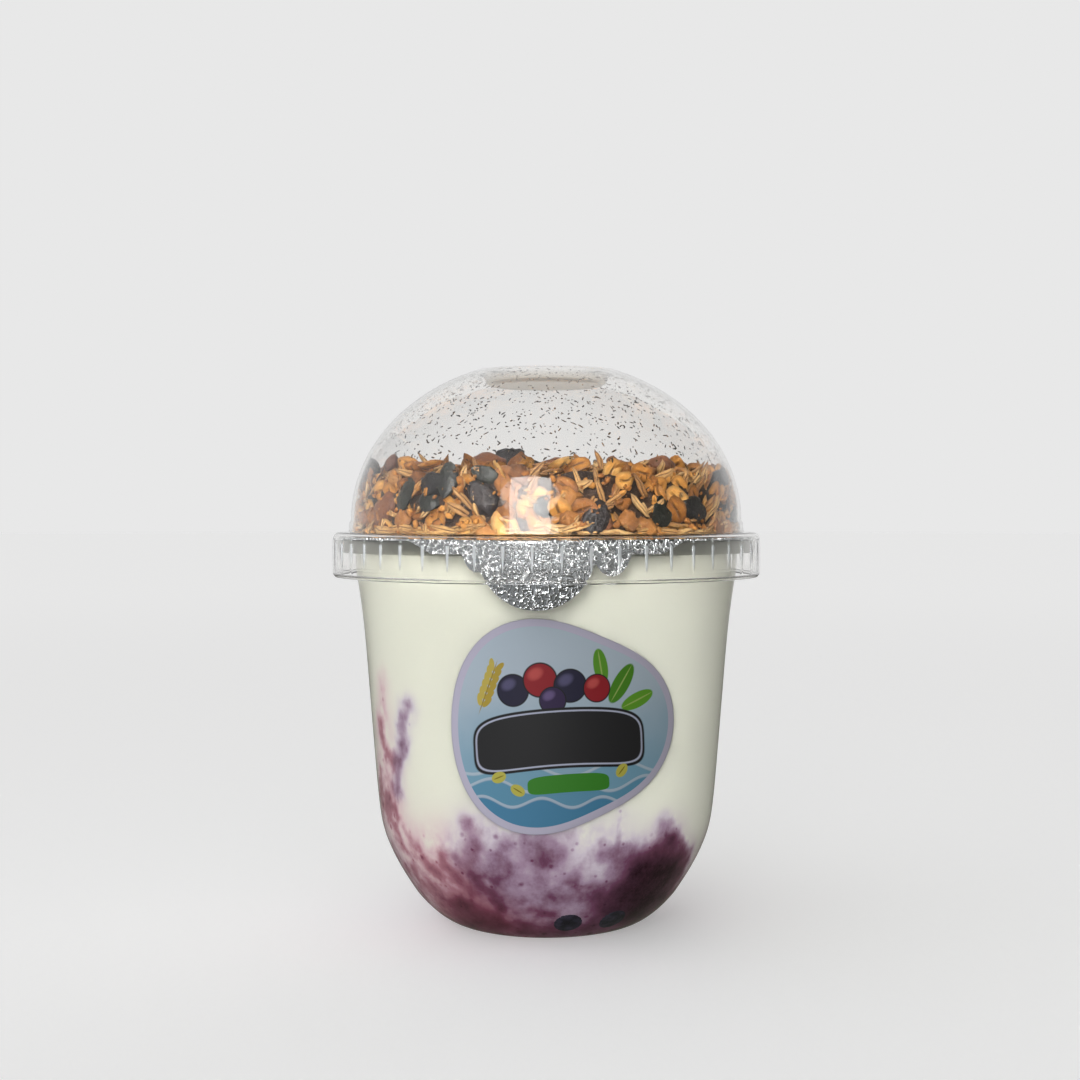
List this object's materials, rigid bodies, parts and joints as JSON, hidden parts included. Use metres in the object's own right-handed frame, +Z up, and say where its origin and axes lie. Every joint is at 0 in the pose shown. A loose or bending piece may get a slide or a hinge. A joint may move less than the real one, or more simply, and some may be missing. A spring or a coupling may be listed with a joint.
{
  "type": "yogurt parfait",
  "caption": "Yogurt over berry compote in a clear round-bottomed cup, sealed with embossed foil, with granola on the foil under a clear dome lid.",
  "frame": {"origin": "centre of the cup's base, on the surface it stands on", "axes": "+Z up; -Y to the front, where the label and the foil's pull tab are"},
  "size_m": [0.0972, 0.0972, 0.1246],
  "materials": {
    "cup_plastic": "clear glossy thermoformed plastic",
    "yogurt": "thick creamy white yogurt, moist",
    "compote": "dark maroon cooked berries, wet",
    "blueberry": "blue-black berry skin",
    "foil": "bright foil embossed all over with fine short wrinkles",
    "granola": "toasted oats, seeds, dried fruit and nuts",
    "lid_plastic": "clear glossy thermoformed plastic",
    "label_print": "smooth printed sticker"
  },
  "bodies": {
    "root": {"cup": "cup_plastic", "yogurt": "yogurt", "berry_compote": "compote", "blueberry_middle": "blueberry", "blueberry_right": "blueberry", "foil_seal": "foil", "granola": "granola", "dome_lid": "lid_plastic", "label": "label_print"}
  },
  "joints": []
}
